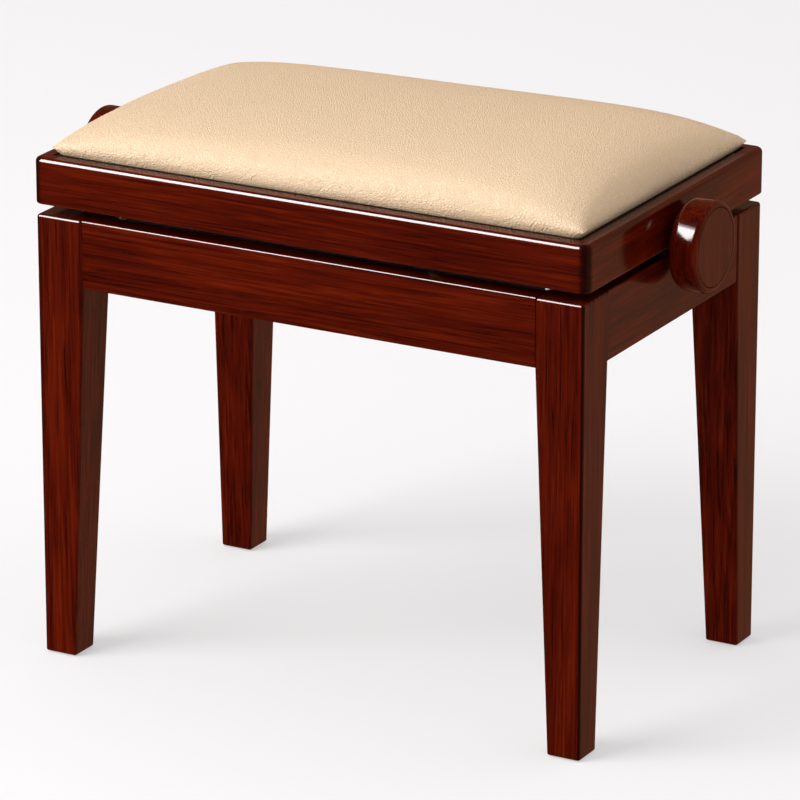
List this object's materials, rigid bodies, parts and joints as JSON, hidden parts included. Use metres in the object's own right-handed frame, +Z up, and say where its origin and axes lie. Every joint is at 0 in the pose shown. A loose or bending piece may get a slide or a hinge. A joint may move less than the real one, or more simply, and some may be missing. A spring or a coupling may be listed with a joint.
{
  "type": "adjustable piano bench",
  "caption": "Height-adjustable piano bench: polished wooden stand with tapered legs, padded leather seat, and a knob-driven scissor lift.",
  "frame": {"origin": "on the floor, under the middle of the bench", "axes": "+X along the bench to the right, +Y to the back, +Z up"},
  "size_m": [0.61, 0.338, 0.4973],
  "materials": {
    "mahogany": "gloss",
    "beech": "matte",
    "plywood": "matte",
    "black_steel": "satin",
    "plated_steel": "satin",
    "brass": "satin",
    "foam": "matte",
    "cream_leather": "satin",
    "felt": "matte"
  },
  "bodies": {
    "stand": {"leg_front_left": "mahogany", "corner_bracket_front_left": "plated_steel", "leg_front_right": "mahogany", "corner_bracket_front_right": "plated_steel", "leg_back_left": "mahogany", "corner_bracket_back_left": "plated_steel", "leg_back_right": "mahogany", "corner_bracket_back_right": "plated_steel", "apron_front": "mahogany", "apron_back": "mahogany", "apron_left": "mahogany", "apron_right": "mahogany", "apron_dowels": "beech", "lower_rail_front": "black_steel", "lower_rail_back": "black_steel", "bracket_screws": "plated_steel", "hanger_bolts": "plated_steel", "hanger_nuts": "plated_steel", "lower_rail_screws": "plated_steel", "lower_pivot_bolts": "plated_steel", "lower_pivot_nuts": "plated_steel", "foot_pads": "felt"},
    "outer_arms": {"outer_arm_front": "black_steel", "outer_arm_back": "black_steel", "outer_arm_brace": "black_steel", "centre_rivets": "plated_steel", "centre_washers": "plated_steel"},
    "inner_arms": {"inner_arm_front": "black_steel", "inner_arm_back": "black_steel", "inner_arm_brace": "black_steel", "slide_rod": "plated_steel", "slide_rod_clips": "plated_steel"},
    "nut_bar": {"nut_bar": "plated_steel", "nut_bar_clips": "plated_steel"},
    "spindle": {"spindle": "plated_steel", "knob_left": "mahogany", "knob_right": "mahogany", "knob_grub_screws": "plated_steel", "stop_collars": "plated_steel"},
    "seat": {"seat_rail_front": "mahogany", "seat_rail_back": "mahogany", "seat_rail_left": "mahogany", "seat_rail_right": "mahogany", "mitre_dowels": "beech", "glue_blocks": "beech", "upper_rail_front": "black_steel", "upper_rail_back": "black_steel", "end_plate_left": "black_steel", "end_plate_right": "black_steel", "end_plate_screws": "plated_steel", "board_screws": "plated_steel", "upper_pivot_bolts": "plated_steel", "upper_pivot_nuts": "plated_steel", "cover_staples": "plated_steel", "spindle_bushes": "brass", "seat_board": "plywood", "foam_pad": "foam", "leather_cover": "cream_leather"}
  },
  "joints": [
    {"name": "lift", "type": "hinge", "parent": "stand", "child": "outer_arms", "pos_m": [-0.14, 0, 0.377], "axis": [0, -1, 0], "range_deg": [0, 21.79]},
    {"name": "arm_crossing", "type": "hinge", "parent": "outer_arms", "child": "inner_arms", "pos_m": [-0.00144, 0, 0.397], "axis": [0, 1, 0], "range_deg": [0, 43.57]},
    {"name": "seat_pivot", "type": "hinge", "parent": "inner_arms", "child": "seat", "pos_m": [-0.14, 0, 0.417], "axis": [0, -1, 0], "range_deg": [0, 21.79]},
    {"name": "nut_bar_pivot", "type": "hinge", "parent": "outer_arms", "child": "nut_bar", "pos_m": [0.13713, 0, 0.417], "axis": [0, 1, 0], "range_deg": [0, 21.79]},
    {"name": "spindle_turn", "type": "hinge", "parent": "seat", "child": "spindle", "pos_m": [0, 0, 0.417], "axis": [1, 0, 0], "range_deg": [0, 3117.7]}
  ],
  "couplings": [
    {"joint": "arm_crossing", "follows": "lift", "ratio": 2},
    {"joint": "seat_pivot", "follows": "lift", "ratio": 1},
    {"joint": "nut_bar_pivot", "follows": "lift", "ratio": 1},
    {"joint": "spindle_turn", "follows": "lift", "ratio": 143.1}
  ]
}
